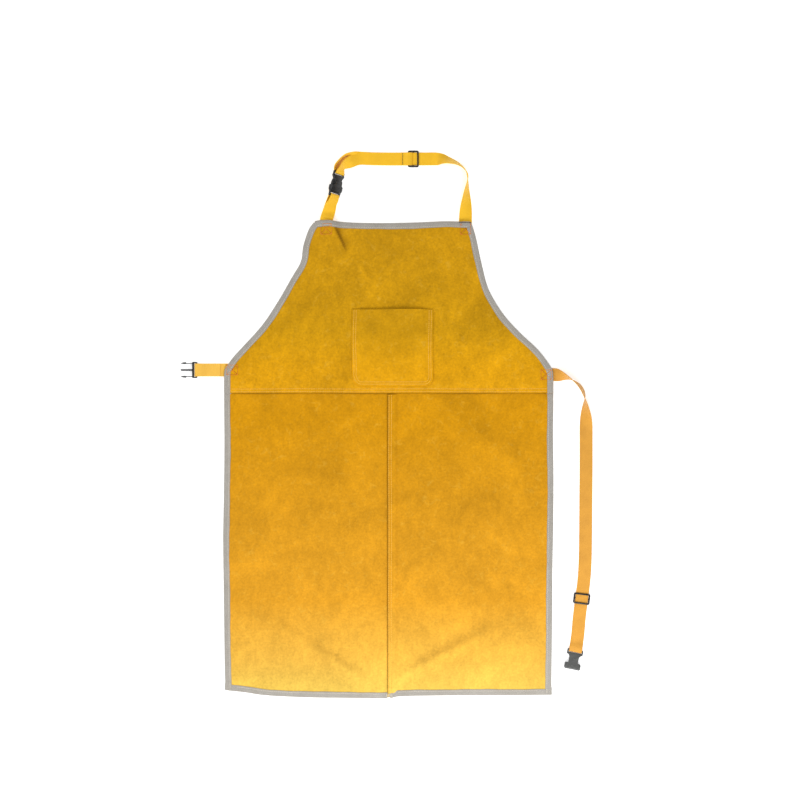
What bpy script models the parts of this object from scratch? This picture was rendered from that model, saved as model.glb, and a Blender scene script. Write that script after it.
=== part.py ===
"""Split-leather welding apron, lying face up: bib, two skirt panels, patch pocket,
edge binding, webbing neck loop and waist straps, two side-release buckles and two sliders.

Metres, +Z up. X runs across the apron, Y from the hem to the bib's top edge, Z out of its face.
The parts are drawn with X = 0 at the middle of the apron, Y = 0 at the hem and Z = 0 on the
surface it lies on, and are then moved together so that the origin is at the bottom centre.
"""

import math

import bmesh
import bpy
from mathutils import Matrix, Vector

MM = 0.001
GAP = 0.3 * MM  # between pieces that touch

# Leather
HALF_WIDTH = 318 * MM
WAIST_Y = 581 * MM  # lower edge of the bib
TOP_Y = 912 * MM
CENTRE_SEAM_X = -4 * MM
LEATHER = 1.6 * MM
LAP = 12 * MM  # overlap of two panels at a seam
LAP_RAMP = 8 * MM
BIB_LEFT_EDGE = [
    (-318, 620), (-303, 650), (-247, 712), (-205, 775), (-172, 835), (-166, 866), (-155, 898), (-144, 912),
]
BIB_RIGHT_EDGE = [
    (318, 620), (309, 637), (288, 665), (255, 696), (226, 727), (204, 758), (189, 789), (177, 836),
    (158, 912),
]

# Binding tape, folded over every edge
TAPE = 0.8 * MM
TAPE_WIDTH = 12 * MM  # seen on each face
EDGE_INSET = TAPE + GAP  # from the outline to the leather's own edge

# Heights of the layers above the surface
SKIRT_TAPE_Z = 0.0
SKIRT_Z = TAPE + GAP
BIB_Z = SKIRT_Z + LEATHER + GAP
BIB_TAPE_Z = BIB_Z - GAP - TAPE
POCKET_Z = BIB_Z + LEATHER + GAP

# Pocket
POCKET_HALF_WIDTH = 78.5 * MM
POCKET_X = 5 * MM
POCKET_LOW_Y = 596 * MM
POCKET_TOP_Y = 744 * MM
POCKET_CORNER = 17 * MM
POCKET_FLANGE = 9 * MM
POCKET_SLOPE = 16 * MM
POCKET_DEPTH = 5 * MM

# Webbing
WEB_HALF = 12.5 * MM
WEB = 1.3 * MM
TAIL = 40 * MM  # webbing sewn under the bib
HINGE_OUT = 1 * MM  # from the apron's edge to the line where a strap bends
STRAP_OUT = 2 * MM
WEB_STRIPS = 4  # flat strips across the webbing, so that it can twist
LAYER = 1.6 * MM  # from one layer of webbing to the next
BAR_WRAP = 2.95 * MM  # radius of the webbing's middle round a buckle's bar

# Strap routes: x, y, z in mm and the roll of the webbing in degrees
NECK_ROUTE = [
    (147, 914, 0.65, 0), (147.6, 935, 5.2, 18), (149, 968, 12, 60), (151.3, 998, 13.4, 90),
    (146, 1013, 13.4, 84), (132, 1025, 12.2, 62), (112, 1032, 8.2, 32), (92, 1035, 3.6, 0),
    (70, 1035, 3.6, 0), (46, 1035, 3.6, 0), (20, 1035, 3.6, 0), (-6, 1035, 3.6, 0), (-34, 1035.5, 3.6, 0),
    (-60, 1036, 6.6, -15), (-80, 1031.5, 12, -38), (-94.84, 1019.01, 15.6, -52),
    (-97.42, 1007.29, 15.6, -52),
    (-102.14, 985.8, 15.6, -52),
]
NECK_STUB_ROUTE = [
    (-122.4, 916.5, 0.65, 0), (-119, 932, 7, 20), (-110.63, 947.18, 15.6, 52), (-107.2, 962.8, 15.6, 52),
    (-102.47, 984.3, 15.6, 52),
]
WAIST_ROUTE = [
    (320, 617.5, 0.65, 0), (335, 615, 9, 40), (351.6, 608, 13.6, 90), (368, 595, 12.6, 118),
    (376.5, 577, 13.6, 90), (379, 554, 11, 56), (380.2, 526, 6.4, 22), (380.5, 496, 3.6, 0),
    (380.5, 440, 3.6, 0), (380, 380, 3.6, 0), (379.6, 320, 3.6, 0), (378.8, 262, 3.6, 0),
    (376.52, 221.7, 3.6, 0), (371.9, 184, 3.6, 0), (367.28, 146.3, 3.6, 0), (364.3, 113, 3.9, 0),
    (359.8, 84, 4.4, 0), (352, 50, 4.4, 0),
]
WAIST_STUB_ROUTE = [
    (-320, 626.6, 3.8, 0), (-350, 626.6, 3.8, 0), (-373.5, 626.6, 3.8, 0), (-405, 626.6, 3.8, 0)]
NECK_BAR_POINT = Vector((-97.42, 1007.29, 15.6)) * MM
NECK_STUB_BAR_POINT = Vector((-107.2, 962.8, 15.6)) * MM
WAIST_BAR_POINT = Vector((359.8, 84, 4.4)) * MM
WAIST_STUB_BAR_POINT = Vector((-373.5, 626.6, 3.8)) * MM
NECK_SLIDER_POINT = Vector((46, 1035, 3.6)) * MM
WAIST_SLIDER_POINT = Vector((371.9, 184, 3.6)) * MM
STRAIGHT_EACH_SIDE = 34 * MM  # straight webbing that each slider can travel on

# Buckle, in its own frame: x across, y along the strap away from its bar, z through it
BAR_HALF = 1.75 * MM
FRAME_HALF_WIDTH = 15.5 * MM
FRAME_HALF_THICK = 1.6 * MM
SLOT_HALF_WIDTH = 13.1 * MM
SLOT_END = 4.75 * MM
PLUG_FRONT = 8.25 * MM
PRONG = 23 * MM
ARM_START = 0.4 * MM
ARM_ROOT_X = 12.7 * MM
SOCKET_MOUTH = 37 * MM
SOCKET_HALF_THICK = 4.25 * MM
SOCKET_WAIST = 9.25 * MM
MOUTH_BLOCK = 11.5 * MM
CAVITY_HALF_WIDTH = 13.85 * MM
CAVITY_HALF_THICK = 2.4 * MM
GUIDE_HALF = 1.6 * MM

# Slider
SLIDER_HALF_WIDTH = 16 * MM
SLIDER_HALF_LENGTH = 10.5 * MM
SLIDER_HALF_THICK = 2.75 * MM
SLIDER_BAR = 3 * MM
STRAP_CLEAR = 0.95 * MM  # half height of the way through the slider


def clear_scene():
    for old in list(bpy.data.objects):
        bpy.data.objects.remove(old)


def make_material(name, colour, roughness):
    mat = bpy.data.materials.new(name)
    mat.use_nodes = True
    shader = mat.node_tree.nodes["Principled BSDF"]
    shader.inputs["Base Color"].default_value = (*colour, 1)
    shader.inputs["Roughness"].default_value = roughness
    shader.inputs["Metallic"].default_value = 0
    return mat


def joint_empty(name, place, parent):
    """An empty on a joint's axis, which carries the pieces of one moving body."""
    empty = bpy.data.objects.new(name, None)
    bpy.context.scene.collection.objects.link(empty)
    empty.parent = parent
    empty.location = Vector(place) - (parent.matrix_world.translation if parent else Vector())
    bpy.context.view_layer.update()
    return empty


def finish(name, bm, mat, carrier, smooth=False):
    """Turns a bmesh in the apron's frame into one named object carried by an empty."""
    bmesh.ops.recalc_face_normals(bm, faces=bm.faces)
    mesh = bpy.data.meshes.new(name)
    bm.to_mesh(mesh)
    bm.free()
    here = carrier.matrix_world.translation
    mesh.transform(Matrix.Translation(-here))
    if smooth:
        mesh.shade_smooth()
        mesh.set_sharp_from_angle(angle=math.radians(35))
    mesh.materials.append(mat)
    piece = bpy.data.objects.new(name, mesh)
    bpy.context.scene.collection.objects.link(piece)
    piece.parent = carrier
    return piece


def smooth_through(points, steps):
    """A Catmull-Rom curve through points of any dimension, with steps stretches between two points."""
    ends = [[2 * a - b for a, b in zip(points[0], points[1])]]
    tail = [[2 * a - b for a, b in zip(points[-1], points[-2])]]
    knots = ends + [list(p) for p in points] + tail
    out = []
    for a, b, c, d in zip(knots, knots[1:], knots[2:], knots[3:]):
        for k in range(steps):
            t = k / steps
            out.append([
                0.5 * (2 * q + (r - p) * t + (2 * p - 5 * q + 4 * r - s) * t * t
                       + (3 * q - p - 3 * r + s) * t**3)
                for p, q, r, s in zip(a, b, c, d)
            ])
    out.append(list(points[-1]))
    return out


def thicken_up(bm, thickness):
    """Gives a sheet of faces a thickness along +Z."""
    grown = bmesh.ops.extrude_face_region(bm, geom=bm.faces[:])
    top = [v for v in grown["geom"] if isinstance(v, bmesh.types.BMVert)]
    bmesh.ops.translate(bm, verts=top, vec=(0, 0, thickness))


def slab(outline, z, thickness):
    bm = bmesh.new()
    bm.faces.new([bm.verts.new((x, y, z)) for x, y in outline])
    thicken_up(bm, thickness)
    return bm


def swept(sections):
    """A closed solid through equal loops of points, capped at both ends."""
    bm = bmesh.new()
    rings = [[bm.verts.new(p) for p in loop] for loop in sections]
    for one, two in zip(rings, rings[1:]):
        for k in range(len(one)):
            bm.faces.new((one[k - 1], one[k], two[k], two[k - 1]))
    bm.faces.new(rings[0])
    bm.faces.new(rings[-1][::-1])
    return bm


def inset_path(path, distance, side):
    """The path moved sideways in the XY plane; side is +1 for its left and -1 for its right."""
    out = []
    for k, p in enumerate(path):
        before = (p - path[k - 1]).normalized() if k else (path[1] - p).normalized()
        after = (path[k + 1] - p).normalized() if k + 1 < len(path) else before
        along = (before + after).normalized()
        mitre = distance * side / max(0.5, along.dot(after))
        out.append(p + Vector((-along.y, along.x)) * mitre)
    return out


def edge_curve(points):
    return [Vector(p) * MM for p in smooth_through(points, 3)]


def bib_outline():
    """The bib's finished outline with its two edges, each from its lower corner upwards."""
    left = [Vector((-HALF_WIDTH, WAIST_Y))] + edge_curve(BIB_LEFT_EDGE)
    right = [Vector((HALF_WIDTH, WAIST_Y))] + edge_curve(BIB_RIGHT_EDGE)
    return left, right


def bib_panel(mat, carrier):
    left, right = bib_outline()
    left_cut = inset_path(left, EDGE_INSET, -1)
    right_cut = inset_path(right, EDGE_INSET, 1)
    for cut in (left_cut, right_cut):
        cut[-1].y = TOP_Y - EDGE_INSET
    finish("bib_panel", slab(right_cut + left_cut[::-1], BIB_Z, LEATHER), mat, carrier)


def skirt_left(mat, carrier):
    """The left panel runs under the right one at the centre seam, and under the bib at the waist."""
    outer, inner = -(HALF_WIDTH - EDGE_INSET), -(HALF_WIDTH - TAPE_WIDTH - 2.5 * MM)
    lap_x = CENTRE_SEAM_X + LAP
    outline = [
        (outer, EDGE_INSET), (lap_x, EDGE_INSET), (lap_x, WAIST_Y + LAP), (inner, WAIST_Y + LAP),
        (inner, WAIST_Y - 0.5 * MM), (outer, WAIST_Y - 0.5 * MM),
    ]
    finish("skirt_panel_left", slab(outline, SKIRT_Z, LEATHER), mat, carrier)


def skirt_right(mat, carrier):
    """The right panel; its lap strip steps up over the left panel, clear of the bib and the hem tape."""
    outer, inner = HALF_WIDTH - EDGE_INSET, HALF_WIDTH - TAPE_WIDTH - 2.5 * MM
    low, high = TAPE_WIDTH + 1.5 * MM, WAIST_Y - 1 * MM
    foot = CENTRE_SEAM_X + LAP + 0.5 * MM + LAP_RAMP
    brow = CENTRE_SEAM_X + LAP + 0.5 * MM
    raised = SKIRT_Z + LEATHER + GAP
    bm = bmesh.new()
    corner = {}
    for name, x, y, z in (
        ("a", foot, EDGE_INSET, SKIRT_Z), ("b", outer, EDGE_INSET, SKIRT_Z),
        ("c", outer, WAIST_Y - 0.5 * MM, SKIRT_Z),
        ("d", inner, WAIST_Y - 0.5 * MM, SKIRT_Z), ("e", inner, WAIST_Y + LAP, SKIRT_Z),
        ("f", foot, WAIST_Y + LAP, SKIRT_Z), ("g", foot, high, SKIRT_Z), ("h", foot, low, SKIRT_Z),
        ("i", brow, high, raised), ("j", brow, low, raised),
        ("k", CENTRE_SEAM_X, high, raised), ("l", CENTRE_SEAM_X, low, raised),
    ):
        corner[name] = bm.verts.new((x, y, z))
    for face in ("abcdefgh", "hgij", "jikl"):
        bm.faces.new([corner[n] for n in face])
    thicken_up(bm, LEATHER)
    finish("skirt_panel_right", bm, mat, carrier)


def pocket_loop(inset):
    """The pocket's edge moved inwards, from the mouth's left end round to its right end."""
    half, low, r = POCKET_HALF_WIDTH - inset, POCKET_LOW_Y + inset, max(POCKET_CORNER - inset, 4 * MM)
    points = [(POCKET_X - half, POCKET_TOP_Y)]
    for x_sign, start in ((-1, math.pi), (1, 1.5 * math.pi)):
        for k in range(5):
            a = start + k * math.pi / 8
            points.append((POCKET_X + x_sign * (half - r) + r * math.cos(a), low + r + r * math.sin(a)))
    points.append((POCKET_X + half, POCKET_TOP_Y))
    return points


def pocket(mat, carrier):
    """A patch with a flat sewn flange on three sides and a raised middle, open at the top edge."""
    bm = bmesh.new()
    heights = ((0, 0), (POCKET_FLANGE, 0), (POCKET_FLANGE + POCKET_SLOPE, POCKET_DEPTH))
    loops = [[bm.verts.new((x, y, POCKET_Z + up)) for x, y in pocket_loop(inset)] for inset, up in heights]
    for one, two in zip(loops, loops[1:]):
        for k in range(len(one) - 1):
            bm.faces.new((one[k], one[k + 1], two[k + 1], two[k]))
    bm.faces.new(loops[-1])
    thicken_up(bm, LEATHER)
    finish("pocket_patch", bm, mat, carrier)


def binding(name, path, side, z, mat, carrier):
    """Tape folded round an edge: a wall at the edge and a leg on each face of the leather."""
    depths = (0, TAPE, TAPE_WIDTH)
    edge, inner, far = (inset_path(path, d, side) for d in depths)
    low, high = z + TAPE, z + TAPE + 2 * GAP + LEATHER
    sections = []
    for e, i, f in zip(edge, inner, far):
        profile = (
            (e, z), (e, high + TAPE), (f, high + TAPE), (f, high),
            (i, high), (i, low), (f, low), (f, z),
        )
        sections.append([Vector((p.x, p.y, height)) for p, height in profile])
    finish(name, swept(sections), mat, carrier)


def bindings(mat, bib, skirt):
    left, right = bib_outline()
    binding("binding_bib_left", left, -1, BIB_TAPE_Z, mat, bib)
    binding("binding_bib_right", right, 1, BIB_TAPE_Z, mat, bib)
    slant = 4 * MM  # the bib's edges lean in, so the top tape starts this much further in
    ends = (left[-1].x + TAPE_WIDTH + slant, right[-1].x - TAPE_WIDTH - slant)
    binding("binding_top", [Vector((x, TOP_Y)) for x in ends], -1, BIB_TAPE_Z, mat, bib)
    for side, sign in (("left", -1), ("right", 1)):
        path = [Vector((sign * HALF_WIDTH, y)) for y in (0, WAIST_Y - 0.5 * MM)]
        binding("binding_skirt_" + side, path, sign, SKIRT_TAPE_Z, mat, skirt)
    join_x = CENTRE_SEAM_X + 4 * MM
    inner = HALF_WIDTH - TAPE_WIDTH - GAP
    for side, xs in (("left", (-inner, join_x - GAP)), ("right", (join_x, inner))):
        binding("binding_hem_" + side, [Vector((x, 0)) for x in xs], 1, SKIRT_TAPE_Z, mat, skirt)


class Route:
    """A strap's middle line with the roll of its webbing, measured by length from its start."""

    def __init__(self, points):
        dense = smooth_through(points, 8)
        self.places = [Vector(p[:3]) * MM for p in dense]
        self.rolls = [math.radians(p[3]) for p in dense]
        self.lengths = [0.0]
        for a, b in zip(self.places, self.places[1:]):
            self.lengths.append(self.lengths[-1] + (b - a).length)

    def nearest(self, point):
        """The length along the route at the place nearest to point."""
        return min(zip(self.places, self.lengths), key=lambda pair: (pair[0] - point).length)[1]

    def frame(self, s):
        """Place, direction, width direction and face normal at a length along the route."""
        k = max(j for j in range(len(self.lengths) - 1) if self.lengths[j] <= s or j == 0)
        a, b = self.places[k], self.places[k + 1]
        share = (s - self.lengths[k]) / (self.lengths[k + 1] - self.lengths[k])
        along = (b - a).normalized()
        roll = self.rolls[k] + (self.rolls[k + 1] - self.rolls[k]) * min(1, max(0, share))
        across = Vector((0, 0, 1)).cross(along).normalized()
        across.rotate(Matrix.Rotation(roll, 3, along))
        return a.lerp(b, share), along, across, along.cross(across)

    def matrix(self, s):
        """The frame at s as a matrix whose Y runs along the strap and whose Z leaves its face."""
        place, along, across, normal = self.frame(s)
        turn = Matrix((-across, along, normal)).transposed().to_4x4()
        return Matrix.Translation(place) @ turn


def webbing(name, route, run, mat, carrier):
    """Webbing that follows a route; run lists (length along it, height off its middle line)."""
    middles, acrosses = [], []
    for s, height in run:
        place, _, across, normal = route.frame(s)
        middles.append(place + normal * height)
        acrosses.append(across)
    sections = []
    for k, (middle, across) in enumerate(zip(middles, acrosses)):
        travel = middles[min(k + 1, len(middles) - 1)] - middles[max(k - 1, 0)]
        face = travel.cross(across).normalized() * WEB / 2
        side = across * WEB_HALF
        shares = [1 - 2 * j / WEB_STRIPS for j in range(WEB_STRIPS + 1)]
        front = [middle + side * share + face for share in shares]
        sections.append(front + [middle + side * share - face for share in shares[::-1]])
    finish(name, swept(sections), mat, carrier)


def even_run(start, end, step=4 * MM):
    count = max(1, round(abs(end - start) / step))
    return [start + (end - start) * k / count for k in range(count + 1)]


def round_bar(bar, first, steps=6):
    """The webbing's half turn round a buckle's bar, from height first * BAR_WRAP to the other side."""
    middle = bar + 0.45 * MM
    turn = []
    for k in range(steps + 1):
        a = math.pi / 2 - math.pi * k / steps
        turn.append((middle + BAR_WRAP * math.cos(a), first * BAR_WRAP * math.sin(a)))
    return turn


def stub(name, route, bar, start_height, mat, carrier):
    """A short strap: out from the apron under the bar, round it and back on top to its sewn end."""
    reach = bar - 6 * MM
    low = [(s, start_height + (-BAR_WRAP - start_height) * (s / reach) ** 2) for s in even_run(0, reach)]
    flap_end = bar - 27 * MM
    flap_low = start_height + (-BAR_WRAP - start_height) * (flap_end / reach) ** 2 + LAYER
    high = []
    for s in even_run(reach, flap_end, 4 * MM):
        t = (reach - s) / (reach - flap_end)
        high.append((s, BAR_WRAP + (flap_low - BAR_WRAP) * t * t * (3 - 2 * t)))
    webbing(name, route, low + round_bar(bar, -1) + high, mat, carrier)


def loop(name, route, slider, bar, mat, carrier):
    """Webbing from beyond the slider's travel round the socket's bar and back to the slider's middle bar."""
    start, turn_in = slider + STRAIGHT_EACH_SIDE + 4 * MM + GAP, bar - 5 * MM
    out = []
    for s in even_run(start, turn_in, 6 * MM):
        t = max(0, (s - turn_in) / (14 * MM) + 1)
        out.append((s, BAR_WRAP * t * t * (3 - 2 * t)))
    back = []
    for s in even_run(turn_in, slider + 2 * MM, 6 * MM):
        t = max(0, (s - turn_in) / (14 * MM) + 1)
        back.append((s, -LAYER - (BAR_WRAP - LAYER) * t * t * (3 - 2 * t)))
    webbing(name, route, out + round_bar(bar, 1) + back, mat, carrier)


def block(x, y, z):
    """A box from ranges along x, y and z, as a bmesh."""
    bm = bmesh.new()
    bmesh.ops.create_cube(bm, size=1)
    bmesh.ops.scale(bm, vec=(x[1] - x[0], y[1] - y[0], z[1] - z[0]), verts=bm.verts)
    bmesh.ops.translate(bm, vec=(sum(x) / 2, sum(y) / 2, sum(z) / 2), verts=bm.verts)
    return bm


def tool(bm, name):
    """A hidden object that a Boolean uses."""
    mesh = bpy.data.meshes.new(name)
    bm.to_mesh(mesh)
    bm.free()
    helper = bpy.data.objects.new(name, mesh)
    bpy.context.scene.collection.objects.link(helper)
    helper.hide_render = True
    helper.display_type = "WIRE"
    return helper


def carve(piece, steps):
    """Adds Boolean modifiers to a piece; steps lists (operation, shape in the piece's own frame)."""
    for k, (operation, shape) in enumerate(steps):
        helper = tool(shape, f"{piece.name}_tool_{k}")
        helper.parent = piece
        cut = piece.modifiers.new(operation.title(), "BOOLEAN")
        cut.operation = operation
        cut.object = helper
        cut.solver = "EXACT"


def hardware(name, bm, place, mat, carrier):
    """A moulded piece drawn in its own frame and set on the strap by a matrix."""
    bmesh.ops.recalc_face_normals(bm, faces=bm.faces)
    mesh = bpy.data.meshes.new(name)
    bm.to_mesh(mesh)
    bm.free()
    mesh.materials.append(mat)
    piece = bpy.data.objects.new(name, mesh)
    bpy.context.scene.collection.objects.link(piece)
    piece.parent = carrier
    piece.matrix_parent_inverse = carrier.matrix_world.inverted()
    piece.matrix_world = place
    return piece


def prism(outline, half_thick):
    bm = bmesh.new()
    bm.faces.new([bm.verts.new((x, y, -half_thick)) for x, y in outline])
    thicken_up(bm, 2 * half_thick)
    return bm


def chamfered(half_width, low, high, cut):
    return [
        (-half_width + cut, low), (half_width - cut, low), (half_width, low + cut), (half_width, high - cut),
        (half_width - cut, high), (-half_width + cut, high), (-half_width, high - cut),
        (-half_width, low + cut),
    ]


def strap_slot():
    slot_z = (-5 * MM, 5 * MM)
    return block((-SLOT_HALF_WIDTH, SLOT_HALF_WIDTH), (BAR_HALF, SLOT_END), slot_z)


def plug(name, place, mat, carrier):
    """The male half: a frame with the webbing's bar, a thicker front bar and the middle guide prong."""
    frame = prism(chamfered(FRAME_HALF_WIDTH, -BAR_HALF, PLUG_FRONT, 1.2 * MM), FRAME_HALF_THICK)
    piece = hardware(name, frame, place, mat, carrier)
    front = block((-15 * MM, 15 * MM), (SLOT_END + 0.6 * MM, PLUG_FRONT + 0.01 * MM), (-2.6 * MM, 2.6 * MM))
    tip = PLUG_FRONT + PRONG
    guide = prism([
        (-GUIDE_HALF, PLUG_FRONT - 1 * MM), (GUIDE_HALF, PLUG_FRONT - 1 * MM), (GUIDE_HALF, tip - 2 * MM),
        (0.6 * MM, tip), (-0.6 * MM, tip), (-GUIDE_HALF, tip - 2 * MM),
    ], 1.5 * MM)
    carve(piece, [("DIFFERENCE", strap_slot()), ("UNION", front), ("UNION", guide)])


def latch_arm(name, place, side, mat, carrier):
    """A springy side arm with an arrow-shaped barb, hinged where it grows out of the plug."""
    root = PLUG_FRONT + ARM_START
    barb, tip = root + 12 * MM, PLUG_FRONT + PRONG - 0.6 * MM
    outline = [
        (12.0, root), (13.5, root), (13.5, barb - 0.6 * MM), (15.0, barb), (14.6, barb + 5 * MM),
        (13.3, tip), (12.3, tip), (11.6, barb + 4 * MM), (11.7, barb - 0.3 * MM), (12.0, barb - 2.5 * MM),
    ]
    hardware(name, prism([(side * x * MM, y) for x, y in outline], 2 * MM), place, mat, carrier)


def socket(name, place, mat, carrier):
    """The female half: ears with the webbing's bar, a narrow waist where the barbs show, and the mouth."""
    rear = SOCKET_MOUTH - MOUTH_BLOCK
    frame = prism(chamfered(FRAME_HALF_WIDTH, -BAR_HALF, 9 * MM, 1.2 * MM), FRAME_HALF_THICK)
    piece = hardware(name, frame, place, mat, carrier)
    half = [
        (13.4, SLOT_END + 0.5 * MM), (13.6, 7 * MM), (SOCKET_WAIST / MM, 13 * MM),
        (SOCKET_WAIST / MM, rear - 1 * MM),
        (14.4, rear), (15.6, rear + 1.5 * MM), (15.6, SOCKET_MOUTH - 3.5 * MM), (14.6, SOCKET_MOUTH),
    ]
    outline = [(x * MM, y) for x, y in half] + [(-x * MM, y) for x, y in half[::-1]]
    body = prism(outline, SOCKET_HALF_THICK)
    past = SOCKET_MOUTH + 2 * MM
    span = (-CAVITY_HALF_THICK, CAVITY_HALF_THICK)
    cavity = block((-CAVITY_HALF_WIDTH, CAVITY_HALF_WIDTH), (rear - 1.5 * MM, past), span)
    guide_way = block((-2.4 * MM, 2.4 * MM), (11.5 * MM, past), span)
    carve(piece, [
        ("UNION", body), ("DIFFERENCE", strap_slot()), ("DIFFERENCE", cavity), ("DIFFERENCE", guide_way),
    ])


def slider(name, place, mat, carrier):
    """A three-bar slider: end bars over the webbing, the middle bar under it, and two side rails."""
    w, h, t, b = SLIDER_HALF_WIDTH, SLIDER_HALF_LENGTH, SLIDER_HALF_THICK, SLIDER_BAR
    frame = prism(chamfered(w, -h, h, 2 * MM), t)
    piece = hardware(name, frame, place, mat, carrier)
    x = (-SLOT_HALF_WIDTH, SLOT_HALF_WIDTH)
    carve(piece, [
        ("DIFFERENCE", block(x, (-h - b, h + b), (-STRAP_CLEAR, STRAP_CLEAR))),
        ("DIFFERENCE", block(x, (b - h, h - b), (0, t + b))),
        ("DIFFERENCE", block(x, (b / 2, h + b), (-t - b, 0))),
        ("DIFFERENCE", block(x, (-h - b, -b / 2), (-t - b, 0))),
    ])


def tails(mat, carrier):
    """The sewn ends of the four straps, flat under the bib."""
    clear = 0.5 * MM
    for name, x in (("neck_tail_left", -122.4 * MM), ("neck_tail_right", 147 * MM)):
        low, high = TOP_Y - TAIL, TOP_Y - clear
        outline = [(x - WEB_HALF, low), (x + WEB_HALF, low), (x + WEB_HALF, high), (x - WEB_HALF, high)]
        finish(name, slab(outline, 0, WEB), mat, carrier)
    for name, sign, y in (("waist_tail_left", -1, 626.6 * MM), ("waist_tail_right", 1, 617.5 * MM)):
        near, far = sign * (HALF_WIDTH - TAIL), sign * (HALF_WIDTH - clear)
        outline = [(near, y - WEB_HALF), (far, y - WEB_HALF), (far, y + WEB_HALF), (near, y + WEB_HALF)]
        finish(name, slab(outline, 0, WEB), mat, carrier)


def neck(bib, webbing_mat, plastic_mat):
    hinge = joint_empty("neck_loop_axis", (0, TOP_Y + HINGE_OUT, WEB / 2), bib)
    route, stub_route = Route(NECK_ROUTE), Route(NECK_STUB_ROUTE)
    slide_s, bar_s = route.nearest(NECK_SLIDER_POINT), route.nearest(NECK_BAR_POINT)
    plug_s = stub_route.nearest(NECK_STUB_BAR_POINT)
    strap_run = [(s, 0) for s in even_run(0, slide_s + STRAIGHT_EACH_SIDE + 4 * MM)]
    webbing("neck_strap", route, strap_run, webbing_mat, hinge)
    loop("neck_adjusting_loop", route, slide_s, bar_s, webbing_mat, hinge)
    stub("neck_stub", stub_route, plug_s, 0, webbing_mat, hinge)
    plug_place = stub_route.matrix(plug_s)
    plug("neck_buckle_plug", plug_place, plastic_mat, hinge)
    facing = Matrix.Translation((0, PLUG_FRONT + GAP + SOCKET_MOUTH, 0)) @ Matrix.Rotation(math.pi, 4, "Z")
    socket_place = plug_place @ facing
    release = joint_empty("neck_socket_axis", socket_place.translation, hinge)
    socket("neck_buckle_socket", socket_place, plastic_mat, release)
    latches("neck_latch", plug_place, ("left", "right"), plastic_mat, hinge)
    slide = joint_empty("neck_slider_axis", route.frame(slide_s)[0], hinge)
    slider("neck_slider", route.matrix(slide_s), plastic_mat, slide)


def latches(prefix, place, names, mat, carrier):
    for name, side in zip(names, (-1, 1)):
        root = place @ Vector((side * ARM_ROOT_X, PLUG_FRONT + ARM_START, 0))
        pivot = joint_empty(f"{prefix}_{name}_axis", root, carrier)
        latch_arm(f"{prefix}_{name}", place, side, mat, pivot)


def waist_left(bib, webbing_mat, plastic_mat):
    hinge = joint_empty("waist_stub_axis", (-HALF_WIDTH - HINGE_OUT, 0, WEB / 2), bib)
    route = Route(WAIST_STUB_ROUTE)
    bar_s = route.nearest(WAIST_STUB_BAR_POINT)
    flat = -(3.8 * MM - WEB / 2)  # the webbing lies on the surface where it leaves the apron
    stub("waist_stub", route, bar_s, flat, webbing_mat, hinge)
    place = route.matrix(bar_s)
    plug("waist_buckle_plug", place, plastic_mat, hinge)
    latches("waist_latch", place, ("lower", "upper"), plastic_mat, hinge)


def waist_right(bib, webbing_mat, plastic_mat):
    hinge = joint_empty("waist_strap_axis", (HALF_WIDTH + HINGE_OUT, 0, WEB / 2), bib)
    route = Route(WAIST_ROUTE)
    slide_s, bar_s = route.nearest(WAIST_SLIDER_POINT), route.nearest(WAIST_BAR_POINT)
    strap_run = [(s, 0) for s in even_run(0, slide_s + STRAIGHT_EACH_SIDE + 4 * MM)]
    webbing("waist_strap", route, strap_run, webbing_mat, hinge)
    loop("waist_adjusting_loop", route, slide_s, bar_s, webbing_mat, hinge)
    slide = joint_empty("waist_slider_axis", route.frame(slide_s)[0], hinge)
    slider("waist_slider", route.matrix(slide_s), plastic_mat, slide)
    pull = joint_empty("waist_socket_axis", route.frame(bar_s)[0], hinge)
    socket("waist_buckle_socket", route.matrix(bar_s), plastic_mat, pull)


def move_to_bottom_centre(root):
    """Shifts the whole apron so that the origin is at the bottom centre of its bounding box."""
    bpy.context.view_layer.update()
    graph = bpy.context.evaluated_depsgraph_get()
    corners = []
    for piece in bpy.context.scene.objects:
        if piece.type == "MESH" and not piece.hide_render:
            mesh = piece.evaluated_get(graph).to_mesh()
            corners += [piece.matrix_world @ v.co for v in mesh.vertices]
    middle = [(min(c[k] for c in corners) + max(c[k] for c in corners)) / 2 for k in (0, 1)]
    root.location = Vector((-middle[0], -middle[1], -min(c.z for c in corners)))


def main():
    clear_scene()
    leather = make_material("gold_split_leather", (0.66, 0.31, 0.02), 0.9)
    tape = make_material("grey_binding_tape", (0.32, 0.31, 0.29), 0.85)
    web = make_material("gold_webbing", (0.86, 0.44, 0.05), 0.6)
    plastic = make_material("black_acetal", (0.02, 0.02, 0.022), 0.4)
    root = joint_empty("apron", (0, 0, 0), None)
    skirt = joint_empty("waist_fold_axis", (0, WAIST_Y - 0.5 * MM, BIB_Z + LEATHER + GAP), root)
    bib_panel(leather, root)
    skirt_left(leather, skirt)
    skirt_right(leather, skirt)
    pocket(leather, root)
    bindings(tape, root, skirt)
    tails(web, root)
    neck(root, web, plastic)
    waist_left(root, web, plastic)
    waist_right(root, web, plastic)
    move_to_bottom_centre(root)


main()
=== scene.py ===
import math

import bmesh
import bpy
import numpy as np
from mathutils import Matrix, Vector

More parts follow.
